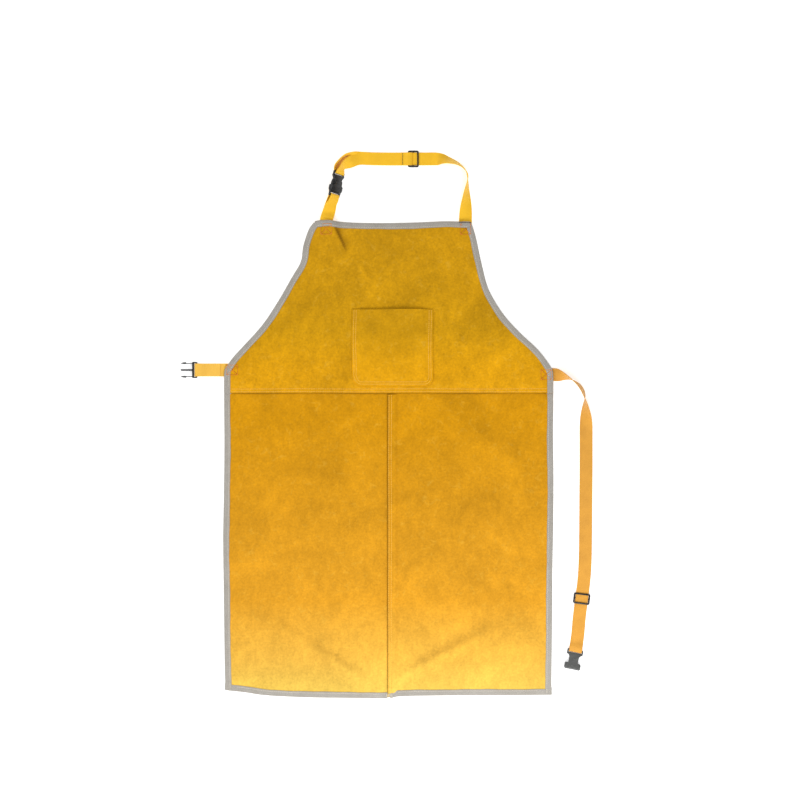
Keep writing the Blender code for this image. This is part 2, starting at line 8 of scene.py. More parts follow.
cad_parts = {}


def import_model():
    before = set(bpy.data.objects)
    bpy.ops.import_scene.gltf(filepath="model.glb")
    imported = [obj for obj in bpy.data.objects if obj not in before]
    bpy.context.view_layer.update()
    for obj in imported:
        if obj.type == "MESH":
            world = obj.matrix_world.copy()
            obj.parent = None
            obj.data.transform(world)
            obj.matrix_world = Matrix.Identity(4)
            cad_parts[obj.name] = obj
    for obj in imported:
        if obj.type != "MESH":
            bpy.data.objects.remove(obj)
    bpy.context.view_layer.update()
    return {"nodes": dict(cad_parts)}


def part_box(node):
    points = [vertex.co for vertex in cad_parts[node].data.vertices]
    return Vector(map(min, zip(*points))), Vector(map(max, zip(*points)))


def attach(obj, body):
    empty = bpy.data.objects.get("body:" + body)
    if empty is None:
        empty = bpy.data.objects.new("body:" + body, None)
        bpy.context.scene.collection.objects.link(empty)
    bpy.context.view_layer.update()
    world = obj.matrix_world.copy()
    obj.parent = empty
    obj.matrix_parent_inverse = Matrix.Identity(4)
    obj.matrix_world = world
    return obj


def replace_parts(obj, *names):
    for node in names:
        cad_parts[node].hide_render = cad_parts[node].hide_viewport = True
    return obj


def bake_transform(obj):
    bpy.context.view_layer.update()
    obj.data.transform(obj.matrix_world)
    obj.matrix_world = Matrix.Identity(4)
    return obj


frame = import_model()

# Shapes are drawn in mm from the middle of the apron's hem, and world() moves them to the row frame.
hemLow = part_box("binding_hem_left")[0].y
middleX = (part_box("binding_skirt_left")[0].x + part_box("binding_skirt_right")[1].x) / 2
shift = np.array([middleX, hemLow, 0.0])


def world(points):
    return np.asarray(points, float) * 0.001 + shift


def smooth(t):
    t = np.clip(t, 0, 1)
    return t * t * (3 - 2 * t)


def through(points, steps):
    # Catmull-Rom curve through points of any dimension
    p = np.asarray(points, float)
    p = np.vstack([2 * p[0] - p[1], p, 2 * p[-1] - p[-2]])
    t = (np.arange(steps) / steps)[:, None]
    out = [
        0.5 * (2 * b + (c - a) * t + (2 * a - 5 * b + 4 * c - d) * t**2 + (3 * b - a - 3 * c + d) * t**3)
        for a, b, c, d in zip(p, p[1:], p[2:], p[3:])
    ]
    return np.vstack(out + [p[-2]])


# Outline and layers

outline = {
    "left": [(-317, 6.8), (-318.5, 60), (-319.5, 140), (-320.5, 220), (-321.5, 300), (-320, 390),
             (-319, 480), (-319.6, 560), (-319.6, 619)],
    "right": [(313, -2), (313.5, 60), (314.5, 150), (315, 240), (316.5, 330), (317, 420), (316, 500),
              (316.7, 560), (316.7, 619)],
    "hem": [(-317, 6.8), (-280, 2.9), (-239, -2.9), (-158, -6.8), (-80, -8), (-4, -8.7), (22, -4.8),
            (110, -3.2), (228, -2.9), (313, -2)],
    "armholeLeft": [(-319.6, 619), (-316.7, 630.5), (-303, 650), (-289.6, 665), (-247, 712), (-216, 758),
                    (-189, 805), (-171.4, 836), (-166.5, 867), (-156, 898), (-146, 912)],
    "armholeRight": [(316.7, 619), (311, 634), (287.6, 665), (254.7, 696), (225.7, 727), (204.4, 758),
                     (189, 789), (177, 836), (167, 882), (158, 912)],
    "top": [(-146, 913.5), (-120, 916), (-100, 913.5), (-60, 911), (0, 910.5), (60, 912), (110, 914),
            (158, 912.5)],
}
curves = {name: through(points, 8) for name, points in outline.items()}
waistY, seamX = 581.0, -4.0
# Above tuckY the skirt is tucked in under the bib
tuckY = 578.0
layers = {"skirt": 1.0, "leather": 1.7, "bib": 3.05, "bibDrop": 1.6, "lap": 12.0, "lapGape": 3.2,
          "tape": 0.7, "tapeWidth": 11.3, "overTape": 0.85}


def edgeX(side, y):
    both = np.vstack([curves[side], curves["armhole" + side.title()][1:]])
    return np.interp(y, both[:, 1], both[:, 0])


def hemY(x):
    return np.interp(x, curves["hem"][:, 0], curves["hem"][:, 1])


def topY(x):
    return np.interp(x, curves["top"][:, 0], curves["top"][:, 1])


def ridge(x, y, start, end, width, height):
    dx, dy = end[0] - start[0], end[1] - start[1]
    t = np.clip(((x - start[0]) * dx + (y - start[1]) * dy) / (dx * dx + dy * dy), 0, 1)
    away = np.hypot(x - start[0] - t * dx, y - start[1] - t * dy)
    return height * np.exp(-((away / width) ** 2)) * np.sqrt(np.sin(math.pi * np.clip(t, 0.03, 0.97)))


# Soft folds of the hides: start, end, width, height
folds = [
    ((-232, 142), (-24, 10), 12, 8.2), ((14, 30), (192, 122), 12, 8.6), ((-290, 70), (-200, 14), 16, 1.8),
    ((-300, 330), (-214, 240), 26, 1.6), ((120, 330), (250, 400), 30, 1.6), ((170, 40), (300, 66), 20, 1.6),
    ((-240, 640), (-170, 700), 24, 1.8), ((120, 690), (220, 660), 26, 1.6), ((-60, 800), (70, 850), 34, 1.5),
    ((-300, 452), (-180, 520), 30, 1.3), ((-59, 833), (-31, 797), 4.5, 3.0),
]
# How high the hides' waves and ripples stand, and how far the whole lies off the floor
waves = {"slow": 0.7, "mid": 0.45, "ripple": 0.16, "base": 0.65}


# The corner of the bib is creased: a slope that rises to a line and drops sharply beyond it
crease = {"start": (-114.0, 920.0), "end": (-84.0, 856.0), "slope": 26.0, "drop": 2.8, "height": 8.5}


def creasePlace(x, y):
    # share of the way along the crease, and distance beyond it in mm
    x0, y0, x1, y1 = *crease["start"], *crease["end"]
    long = math.hypot(x1 - x0, y1 - y0)
    along = ((x - x0) * (x1 - x0) + (y - y0) * (y1 - y0)) / long**2
    return along, ((x - x0) * (y0 - y1) + (y - y0) * (x1 - x0)) / long


def creaseLift(x, y):
    t, off = creasePlace(x, y)
    drop = crease["drop"] + 8 * smooth((0.42 - t) / 0.25)
    width = np.where(off < 0, crease["slope"] * (1.15 - np.clip(t, 0, 1)), drop)
    fade = smooth((1 - t) / 0.8) * smooth((t + 0.35) / 0.3)
    return crease["height"] * np.exp(-((off / width) ** 2)) * fade


def ground(x, y):
    # height of the hide's underside over the floor: slow waves, small ripples, the crease and the folds
    z = creaseLift(x, y) + waves["slow"] * (1 + np.sin(x / 83 + 1.3) * np.sin(y / 107 + 0.4))
    z = z + waves["mid"] * (1 + np.sin(x / 37 + y / 53))
    ripple = np.sin(x / 11 + 2 * np.sin(y / 41)) * np.sin(y / 13 + 2 * np.sin(x / 29))
    z = z + waves["ripple"] * ripple + waves["base"]
    for start, end, width, height in folds:
        z = z + ridge(x, y, start, end, width, height)
    return z


# Where the webbing is sewn under the bib: low and high x, low and high y
tails = {"neckLeft": (-136, -109, 872, 913), "neckRight": (134, 160, 872, 913),
         "waistLeft": (-320, -279, 613, 640), "waistRight": (278, 318, 604, 631)}


def bibBottom(x, y):
    over = np.zeros_like(x + y)
    for x0, x1, y0, y1 in tails.values():
        inX = smooth((x - x0 + 6) / 6) * smooth((x1 + 6 - x) / 6)
        over = np.maximum(over, inX * smooth((y - y0 + 6) / 6) * smooth((y1 + 6 - y) / 6))
    drop = layers["bibDrop"] * smooth((y - 598) / 26) * (1 - over)
    return ground(x, y) + layers["bib"] - drop


def skirtBottom(x, y):
    return ground(x, y) + layers["skirt"]


def lapRaise(x, y):
    # the free edge of the centre lap stands a little open
    nearSeam = (1 - smooth((x - 9.5) / 8)) * (1 - smooth((y - tuckY) / 4))
    return layers["lapGape"] * nearSeam * smooth((y - hemY(x) - 9) / 5)


def skirtRightBottom(x, y):
    return skirtBottom(x, y) + lapRaise(x, y)


# Materials

def linear(text):
    parts = [int(text[k:k + 2], 16) / 255 for k in (1, 3, 5)]
    return [c / 12.92 if c <= 0.04045 else ((c + 0.055) / 1.055) ** 2.4 for c in parts] + [1.0]


def addNode(tree, kind, inputs=None, **settings):
    node = tree.nodes.new(kind)
    for key, value in settings.items():
        setattr(node, key, value)
    for key, value in (inputs or {}).items():
        if isinstance(value, bpy.types.NodeSocket):
            tree.links.new(value, node.inputs[key])
        else:
            node.inputs[key].default_value = value
    return node


def newMaterial(name):
    mat = bpy.data.materials.new(name)
    mat.use_nodes = True
    tree = mat.node_tree
    return mat, tree, tree.nodes["Principled BSDF"]


def ramp(tree, fac, stops):
    node = addNode(tree, "ShaderNodeValToRGB", {"Fac": fac})
    bar = node.color_ramp.elements
    while len(bar) < len(stops):
        bar.new(0.5)
    for element, (place, colour) in zip(bar, stops):
        element.position, element.color = place, linear(colour)
    return node.outputs["Color"]


def mixColour(tree, fac, a, b, blendType="MIX"):
    node = addNode(tree, "ShaderNodeMix", data_type="RGBA", blend_type=blendType)
    for key, value in ((0, fac), (6, a), (7, b)):
        if isinstance(value, bpy.types.NodeSocket):
            tree.links.new(value, node.inputs[key])
        else:
            node.inputs[key].default_value = value
    return node.outputs[2]


def perMm(mm):
    return 1000.0 / mm


def noise(tree, at, mm, detail, **more):
    inputs = {"Vector": at, "Scale": perMm(mm), "Detail": detail}
    inputs.update({key.title(): value for key, value in more.items()})
    return addNode(tree, "ShaderNodeTexNoise", inputs)


def suede(name, stops, seed, mottle=1.0):
    # split cowhide: uneven dye in large clouds, a short nap, and brushed streaks
    mat, tree, shader = newMaterial(name)
    at = addNode(tree, "ShaderNodeTexCoord").outputs["Object"]
    move = addNode(tree, "ShaderNodeMapping", {"Vector": at, "Location": (seed, seed * 0.7, 0)}).outputs[0]
    stretch = addNode(tree, "ShaderNodeMapping",
                      {"Vector": move, "Rotation": (0, 0, 0.6), "Scale": (1, 0.6, 1)})
    clouds = noise(tree, move, 95, 5, roughness=0.62, distortion=0.6)
    streaks = noise(tree, stretch.outputs[0], 14, 4, roughness=0.7)
    grain = noise(tree, move, 4.5, 4, roughness=0.75)
    nap = noise(tree, move, 0.9, 2, roughness=0.6)
    # paler towards the hem: partly the hides' own colour, partly painted light that makes the hem brighter
    # and the top darker
    height = addNode(tree, "ShaderNodeSeparateXYZ", {"Vector": at}).outputs["Y"]
    down = addNode(tree, "ShaderNodeMapRange",
                   {"Value": height, "From Min": hemLow + 0.95, "From Max": hemLow})
    tone = ramp(tree, down.outputs[0], stops)
    for layer, low, high, weak, strong in ((clouds, 0.3, 0.7, 0.83, 1.1), (streaks, 0.3, 0.7, 0.88, 1.06),
                                           (grain, 0.25, 0.7, 0.8, 1.1)):
        share = addNode(tree, "ShaderNodeMapRange", {
            "Value": layer.outputs["Fac"], "From Min": low, "From Max": high,
            "To Min": 1 - (1 - weak) * mottle, "To Max": 1 + (strong - 1) * mottle}).outputs[0]
        scaled = addNode(tree, "ShaderNodeVectorMath", {0: tone}, operation="SCALE")
        tree.links.new(share, scaled.inputs["Scale"])
        tone = scaled.outputs[0]
    marks = noise(tree, move, 19, 7, roughness=0.68, distortion=1.6)
    for band, colour in (([(0.56, "#000000"), (0.7, "#7a7a7a")], "#f2c64e"),
                         ([(0.3, "#585858"), (0.43, "#000000")], "#98690c")):
        tone = mixColour(tree, ramp(tree, marks.outputs["Fac"], band), tone, linear(colour))
    # painted shade: this attribute darkens the hide towards dark brown along the corner crease, and paints
    # shadow lines along the bib's lower edge and the centre lap's edge
    paintedShade = addNode(tree, "ShaderNodeAttribute", attribute_name="paintedShade").outputs["Fac"]
    tone = mixColour(tree, paintedShade, tone, linear("#7a5208"))
    tree.links.new(tone, shader.inputs["Base Color"])
    rough = addNode(tree, "ShaderNodeMapRange",
                    {"Value": grain.outputs["Fac"], "To Min": 0.82, "To Max": 0.98})
    tree.links.new(rough.outputs[0], shader.inputs["Roughness"])
    shader.inputs["Specular IOR Level"].default_value = 0.1
    shader.inputs["Sheen Weight"].default_value = 0.05
    shader.inputs["Sheen Roughness"].default_value = 0.5
    shader.inputs["Sheen Tint"].default_value = linear("#ffe2a0")
    fine = addNode(tree, "ShaderNodeBump",
                   {"Height": nap.outputs["Fac"], "Strength": 0.5, "Distance": 0.0003})
    mid = addNode(tree, "ShaderNodeBump", {
        "Height": grain.outputs["Fac"], "Strength": 0.55, "Distance": 0.0008, "Normal": fine.outputs[0]})
    broad = addNode(tree, "ShaderNodeBump", {
        "Height": streaks.outputs["Fac"], "Strength": 0.5, "Distance": 0.0022, "Normal": mid.outputs[0]})
    tree.links.new(broad.outputs[0], shader.inputs["Normal"])
    return mat


def woven(name, dark, light, pitch, angle, uvName=None, rough=0.85, slack=0.25):
    # yarns seen as ribs along two directions; pitch is the width of a yarn in mm
    mat, tree, shader = newMaterial(name)
    if uvName:
        at = addNode(tree, "ShaderNodeUVMap", uv_map=uvName).outputs[0]
    else:
        at = addNode(tree, "ShaderNodeTexCoord").outputs["Object"]
    turned = addNode(tree, "ShaderNodeMapping", {"Vector": at, "Rotation": (0, 0, angle)}).outputs[0]
    ribs = []
    for direction, width in (("X", pitch[0]), ("Y", pitch[1])):
        yarn = addNode(tree, "ShaderNodeTexWave", {
            "Vector": turned, "Scale": perMm(width) * 0.314, "Distortion": 0.4, "Detail": 1.0,
            "Detail Scale": 1.5}, wave_type="BANDS", bands_direction=direction)
        ribs.append(yarn.outputs["Fac"])
    both = addNode(tree, "ShaderNodeMath", {0: ribs[0], 1: ribs[1]}, operation="MULTIPLY").outputs[0]
    wear = noise(tree, at, 22, 4).outputs["Fac"]
    tone = ramp(tree, both, [(0.0, dark), (0.5, light)])
    wearTone = ramp(tree, wear, [(0.3, "#d2cdc4"), (0.6, "#ffffff")])
    tone = mixColour(tree, slack, tone, wearTone, "MULTIPLY")
    tree.links.new(tone, shader.inputs["Base Color"])
    shader.inputs["Roughness"].default_value = rough
    shader.inputs["Specular IOR Level"].default_value = 0.25
    shader.inputs["Sheen Weight"].default_value = 0.15
    bump = addNode(tree, "ShaderNodeBump", {"Height": both, "Strength": 0.6, "Distance": 0.0003})
    tree.links.new(bump.outputs[0], shader.inputs["Normal"])
    return mat


def plain(name, colour, rough, grainMm, bumpMm, specular=0.4):
    mat, tree, shader = newMaterial(name)
    at = addNode(tree, "ShaderNodeTexCoord").outputs["Object"]
    grain = noise(tree, at, grainMm, 3).outputs["Fac"]
    shader.inputs["Base Color"].default_value = linear(colour)
    uneven = addNode(tree, "ShaderNodeMapRange",
                     {"Value": grain, "To Min": rough - 0.08, "To Max": rough + 0.1})
    tree.links.new(uneven.outputs[0], shader.inputs["Roughness"])
    shader.inputs["Specular IOR Level"].default_value = specular
    bump = addNode(tree, "ShaderNodeBump", {"Height": grain, "Strength": 0.4, "Distance": bumpMm * 0.001})
    tree.links.new(bump.outputs[0], shader.inputs["Normal"])
    return mat


# Tones from the top down to the hem; the paling towards the hem is partly the hides' own colour and partly
# painted light
skirtStops = [(0.0, "#d09109"), (0.44, "#d09109"), (0.65, "#d2931a"), (0.81, "#dc9b24"), (0.93, "#e2ae42"),
              (1.0, "#e4be52")]
bibStops = [(0.0, "#c9930e"), (0.1, "#cd960e"), (0.26, "#cf980c"), (0.34, "#de9f0c"), (0.4, "#e0a010")]
leatherSkirtLeft = suede("split cowhide suede, left skirt", skirtStops, 1.7)
leatherSkirtRight = suede("split cowhide suede, right skirt", skirtStops, 5.1)
leatherBib = suede("split cowhide suede, bib", bibStops, 9.4, 1.2)
leatherPocket = suede("split cowhide suede, pocket", bibStops, 13.9)
twill = woven("cotton twill tape", "#8b8780", "#bfb9b0", (0.8, 1.3), 0.7)
neckWeave = woven("polypropylene webbing, yellow", "#f2ae16", "#ffd82c", (1.5, 1.2), 0.0, "strap", 0.6, 0.2)
waistWeave = woven("polypropylene webbing, amber", "#c9892f", "#edb143", (1.5, 1.2), 0.0, "strap", 0.6, 0.3)
stubWeave = woven("polypropylene webbing, pale yellow", "#e6aa3a", "#f9ce5a", (1.5, 1.2), 0.0, "strap",
                  0.6, 0.2)
goldThread = plain("polyester thread, gold", "#f0b845", 0.55, 0.4, 0.05)
orangeThread = plain("polyester thread, orange", "#d9822a", 0.55, 0.4, 0.05)
greyThread = plain("polyester thread, pale grey", "#cfc8b8", 0.6, 0.4, 0.05)
darkThread = plain("polyester thread, near black", "#3a2c26", 0.6, 0.4, 0.05)
acetal = plain("moulded acetal, black", "#111112", 0.38, 0.8, 0.03, 0.4)
acetalGrey = plain("moulded acetal, dark grey", "#474846", 0.4, 0.8, 0.03, 0.5)
print("materials made")


# Mesh helpers

def addObject(name, data):
    obj = bpy.data.objects.new(name, data)
    bpy.context.scene.collection.objects.link(obj)
    return obj


def newObject(name, verts, faces, mat, smoothAngle=40):
    # a closed solid from points in mm
    mesh = bpy.data.meshes.new(name)
    mesh.from_pydata(world(verts).tolist(), [], [tuple(int(i) for i in f) for f in faces])
    mesh.materials.append(mat)
    bm = bmesh.new()
    bm.from_mesh(mesh)
    bmesh.ops.recalc_face_normals(bm, faces=bm.faces)
    bm.to_mesh(mesh)
    bm.free()
    mesh.shade_smooth()
    mesh.set_sharp_from_angle(angle=math.radians(smoothAngle))
    return addObject(name, mesh)


def gridFaces(rows, cols, start=0):
    a = np.arange(rows - 1)[:, None] * cols + np.arange(cols - 1)[None, :] + start
    return np.stack([a, a + 1, a + cols + 1, a + cols], -1).reshape(-1, 4)


def leatherSheet(name, leftOf, rightOf, lowOf, highOf, us, vs, bottomOf, mat, thickness, seams=None,
                 paintedShade=None):
    # a panel between two side curves, as a top and a bottom grid with a rounded cut edge between them;
    # paintedShade gives how far painted shade darkens the hide, from 0 to 1
    u, v = np.meshgrid(us, vs)
    guess = leftOf(lowOf(0 * u) + v) + u * (rightOf(0 * v + 300) - leftOf(0 * v + 300))
    x = guess
    for _ in range(3):
        y = lowOf(x) + v * (highOf(x) - lowOf(x))
        x = leftOf(y) + u * (rightOf(y) - leftOf(y))
    bottom = bottomOf(x, y)
    rows, cols = x.shape
    edge = np.zeros_like(x)
    edge[0], edge[-1], edge[:, 0], edge[:, -1] = 0.28, 0.28, 0.28, 0.28
    if seams is not None:
        edge = edge + seams(x, y)
    top = np.stack([x, y, bottom + thickness - edge], -1).reshape(-1, 3)
    low = np.stack([x, y, bottom + edge * 0.5], -1).reshape(-1, 3)
    count = rows * cols
    faces = [tuple(f) for f in gridFaces(rows, cols)]
    faces += [tuple(f[::-1]) for f in gridFaces(rows, cols, count)]
    ring = list(range(cols)) + [r * cols + cols - 1 for r in range(1, rows)]
    ring += [(rows - 1) * cols + k for k in range(cols - 2, -1, -1)]
    ring += [r * cols for r in range(rows - 2, 0, -1)]
    for a, b in zip(ring, ring[1:] + ring[:1]):
        faces.append((a + count, b + count, b, a))
    obj = newObject(name, np.vstack([top, low]), faces, mat)
    if paintedShade is not None:
        shade = np.clip(paintedShade(x, y), 0, 1).reshape(-1)
        layer = obj.data.attributes.new("paintedShade", "FLOAT", "POINT")
        layer.data.foreach_set("value", np.concatenate([shade, shade]).astype(np.float32))
    area = float(np.sum((x[:-1, 1:] - x[:-1, :-1]) * (y[1:, :-1] - y[:-1, :-1]))) * 1e-6
    return obj, abs(area)


def sweep(name, sections, mat, uvs=None, smoothAngle=40):
    # equal loops of points in mm joined into a closed solid
    sections = np.asarray(sections, float)
    rows, cols = sections.shape[:2]
    faces = []
    for r in range(rows - 1):
        for k in range(cols):
            n = (k + 1) % cols
            faces.append((r * cols + k, r * cols + n, (r + 1) * cols + n, (r + 1) * cols + k))
    faces += [tuple(range(cols)), tuple(range(rows * cols - 1, (rows - 1) * cols - 1, -1))]
    obj = newObject(name, sections.reshape(-1, 3), faces, mat, smoothAngle)
    if uvs is not None:
        flat = np.asarray(uvs, float).reshape(-1, 2) * 0.001
        layer = obj.data.uv_layers.new(name="strap")
        index = np.zeros(len(obj.data.loops), int)
        obj.data.loops.foreach_get("vertex_index", index)
        layer.data.foreach_set("uv", flat[index].reshape(-1).astype(np.float32))
    return obj


def evenly(path, step):
    path = np.asarray(path, float)
    run = np.concatenate([[0], np.cumsum(np.linalg.norm(np.diff(path, axis=0), axis=1))])
    at = np.linspace(0, run[-1], max(2, int(round(run[-1] / step)) + 1))
    return np.stack([np.interp(at, run, path[:, k]) for k in range(path.shape[1])], 1)


def normalsOf(path):
    way = np.gradient(path[:, :2], axis=0)
    way /= np.linalg.norm(way, axis=1)[:, None]
    return way, np.stack([-way[:, 1], way[:, 0]], 1)


# Leather panels

inset = 1.6
gridPitch = 5.0


def spaced(length, extra=()):
    base = np.linspace(0, 1, int(length / gridPitch) + 1)
    return np.unique(np.concatenate([base, np.array(extra, float)]).round(5))


nearLap = [k / 322 for k in (1, 1.9, 2.8, 3.7, 4.6, 5.8, 6.7, 7.6, 8.5, 9.4, 11, 13, 14.2, 15.5, 17.5,
                             19.5, 21.5)]
nearWaist = [1 - k / 600 for k in (1.5, 3, 7, 8.5, 9.5, 11, 12.5, 13.5, 14.5, 16, 18, 22)]


def groove(away, depth=0.5, width=0.9):
    return depth * np.exp(-((away / width) ** 2))


seamAt = {"waist": (3.6, 9.0), "centre": (2.8, 7.6), "pocket": (3.6, 8.0)}


def waistGrooves(x, y):
    return sum(groove(y - waistY - d) for d in seamAt["waist"])


def centreGrooves(x, y):
    return sum(groove(x - seamX - d) for d in seamAt["centre"])


def bibPaintedShade(x, y):
    # painted shade along the fold of the corner, and a painted shadow line along the lower edge where it
    # lies over the skirts
    t, off = creasePlace(x, y)
    fold = 0.85 * np.exp(-((off - 1.2) / 2.0) ** 2) + 0.3 * np.exp(-((off - 5) / 7.0) ** 2)
    edgeShadow = 0.9 * np.exp(-((y - waistY) / 1.5) ** 2)
    return fold * smooth((1.08 - t) / 0.3) * smooth((t + 0.2) / 0.3) + edgeShadow


def lapPaintedShade(x, y):
    # a painted shadow line along the cut edge of the centre lap
    return 0.9 * np.exp(-((x - seamX) / 1.5) ** 2) * (1 - smooth((y - tuckY + 2) / 4))


def lapEdge(y):
    return seamX + 12.5 * smooth((y - tuckY) / 5)


skirtLeft, areaLeft = leatherSheet(
    "skirtLeft", lambda y: edgeX("left", y) + inset + 12 * smooth((y - tuckY) / 3),
    lambda y: 0 * y + seamX + layers["lap"],
    lambda x: hemY(x) + inset, lambda x: 0 * x + waistY + layers["lap"],
    spaced(322), spaced(592, nearWaist), skirtBottom, leatherSkirtLeft, layers["leather"])
skirtRight, areaRight = leatherSheet(
    "skirtRight", lapEdge, lambda y: edgeX("right", y) - inset - 12 * smooth((y - tuckY) / 3),
    lambda x: hemY(x) + inset, lambda x: 0 * x + waistY + layers["lap"],
    spaced(322, nearLap), spaced(592, nearWaist), skirtRightBottom, leatherSkirtRight, layers["leather"],
    centreGrooves, lapPaintedShade)
bibRows = np.unique(np.concatenate([np.arange(16) * 0.9 / 330, np.linspace(14 / 330, 1, 84)]))
bib, areaBib = leatherSheet(
    "bibPanel", lambda y: edgeX("left", y) + inset, lambda y: edgeX("right", y) - inset,
    lambda x: 0 * x + waistY + 0.5 * np.sin(x / 31), lambda x: topY(x) - inset,
    np.linspace(0, 1, 141), bibRows, bibBottom, leatherBib, layers["leather"], waistGrooves, bibPaintedShade)

pocketShape = {"left": -73.0, "right": 84.0, "low": 595.6, "high": 744.0, "cornerLeft": (17.0, 26.0),
               "cornerRight": (15.0, 18.0), "flange": 10.0, "puff": 1.1, "gape": 1.7}


def cornerInset(y, corner):
    wide, tall = corner
    t = np.clip((pocketShape["low"] + tall - y) / tall, 0, 1)
    return wide * (1 - np.sqrt(np.clip(1 - t**2, 0, 1)))


def pocketLeft(y):
    return pocketShape["left"] + cornerInset(y, pocketShape["cornerLeft"]) + 0.7 * np.sin(y / 19)


def pocketRight(y):
    return pocketShape["right"] - cornerInset(y, pocketShape["cornerRight"]) + 0.6 * np.sin(y / 23 + 1)


def insidePocket(x, y):
    return np.minimum(np.minimum(x - pocketLeft(y), pocketRight(y) - x), y - pocketShape["low"])


def pocketBottom(x, y):
    s = pocketShape
    mask = smooth((insidePocket(x, y) - s["flange"]) / 13)
    gape = s["gape"] * smooth((y - s["high"] + 46) / 46) * (0.75 + 0.25 * np.sin(x / 26 + 0.6))
    return bibBottom(x, y) + layers["leather"] + 0.2 + mask * (s["puff"] + gape)


def pocketGrooves(x, y):
    return sum(groove(insidePocket(x, y) - d, 0.45) for d in seamAt["pocket"])


edgeSteps = np.arange(13) * 0.95 / 157
pocketUs = np.unique(np.concatenate([edgeSteps, 1 - edgeSteps, np.linspace(0.08, 0.92, 40)]))
pocketVs = np.unique(np.concatenate([edgeSteps, np.linspace(0.08, 1, 44)]))


pocket, areaPocket = leatherSheet(
    "pocketPatch", pocketLeft, pocketRight, lambda x: 0 * x + pocketShape["low"],
    lambda x: 0 * x + pocketShape["high"] + 0.5 * np.sin(x / 21), pocketUs, pocketVs,
    pocketBottom, leatherPocket, layers["leather"], pocketGrooves)
print("leather cut:", round(areaLeft + areaRight + areaBib, 3), "m2")


# Edge binding

tapeStep = 4.0


def tapeRound(name, path, side, bottomOf, overEnds):
    # side is +1 where the leather lies on the path's left; overEnds says which ends lie over another tape
    path = evenly(path, tapeStep)
    _, left = normalsOf(path)
    run = np.arange(len(path)) * tapeStep
    width = layers["tapeWidth"] + 0.35 * np.sin(run / 23) + 0.2 * np.sin(run / 7.1)
    t = layers["tape"]
    over = overEnds[0] * (1 - smooth((run - 12) / 4)) + overEnds[1] * smooth((run - run[-1] + 16) / 4)
    rad = layers["leather"] / 2 + 0.15 + layers["overTape"] * over
    profile = [(1.0, 1), (0.66, 1), (0.33, 1)] + [(a, None) for a in np.linspace(90, 270, 7)]
    profile += [(0.33, -1), (0.66, -1), (1.0, -1)]
    sections = []
    for grow in (t, 0.0):
        points = []
        for d, face in profile:
            if face is None:
                turn = math.radians(d)
                deep = inset - 0.3 + (rad + grow) * math.cos(turn)
                rise = layers["leather"] / 2 + (rad + grow) * math.sin(turn)
            else:
                deep = inset + (width - inset) * d
                rise = layers["leather"] / 2 + face * (rad + grow)
            at = path + left * side * deep[:, None]
            points.append(np.stack([at[:, 0], at[:, 1], bottomOf(at[:, 0], at[:, 1]) + rise], 1))
        sections.append(points if grow else points[::-1])
    return sweep(name, np.stack(sections[0] + sections[1], 1), twill, smoothAngle=50)


leftSide = curves["left"][curves["left"][:, 1] < waistY - 0.4]
rightSide = curves["right"][curves["right"][:, 1] < waistY - 0.4]
leftSide = np.vstack([leftSide, [edgeX("left", waistY - 0.12), waistY - 0.12]])
rightSide = np.vstack([rightSide, [edgeX("right", waistY - 0.12), waistY - 0.12]])
hem = curves["hem"]
hemLeft = hem[(hem[:, 0] > -315) & (hem[:, 0] < -0.5)]
hemRight = hem[(hem[:, 0] > 0.1) & (hem[:, 0] < 311)]


def bibSide(side):
    lower = [(edgeX(side, y), y) for y in (waistY, waistY + 12, waistY + 25)]
    return np.vstack([lower, curves["armhole" + side.title()][1:]])


topCurve = curves["top"]
topMiddle = topCurve[(topCurve[:, 0] > -142) & (topCurve[:, 0] < 153)]
top = np.vstack([[-144.5, topY(-144.5)], topMiddle, [155.5, topY(155.5)]])
bindings = {
    "bindingSkirtLeft": (leftSide, -1, skirtBottom, "binding_skirt_left", (1, 0)),
    "bindingSkirtRight": (rightSide, 1, skirtBottom, "binding_skirt_right", (1, 0)),
    "bindingHemLeft": (hemLeft, 1, skirtBottom, "binding_hem_left", (0, 0)),
    "bindingHemRight": (hemRight, 1, skirtBottom, "binding_hem_right", (0, 0)),
    "bindingBibLeft": (bibSide("left"), -1, bibBottom, "binding_bib_left", (0, 0)),
    "bindingBibRight": (bibSide("right"), 1, bibBottom, "binding_bib_right", (0, 0)),
    "bindingTop": (top, -1, bibBottom, "binding_top", (1, 1)),
}
bindingPieces = {}
for name, (path, side, bottomOf, node, overEnds) in bindings.items():
    tape = tapeRound(name, path, side, bottomOf, overEnds)
    bindingPieces[name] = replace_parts(tape, node)
print("edges bound")


# Stitching

def stitchTemplate(sides=6, rings=5):
    t = np.linspace(-1, 1, rings)
    fat = np.sqrt(np.clip(1 - (0.93 * t) ** 4, 0.05, 1))
    turn = np.arange(sides) * 2 * math.pi / sides
    along = np.repeat(t, sides)
    across = (fat[:, None] * np.cos(turn)).reshape(-1)
    up = (fat[:, None] * np.sin(turn)).reshape(-1)
    arch = np.repeat(0.9 * (1 - t**2) - 0.35, sides)
    faces = []
    for r in range(rings - 1):
        for k in range(sides):
            n = (k + 1) % sides
            faces.append((r * sides + k, r * sides + n, (r + 1) * sides + n, (r + 1) * sides + k))
    return along, across, up, arch, faces, sides, rings


stitchShape = stitchTemplate()


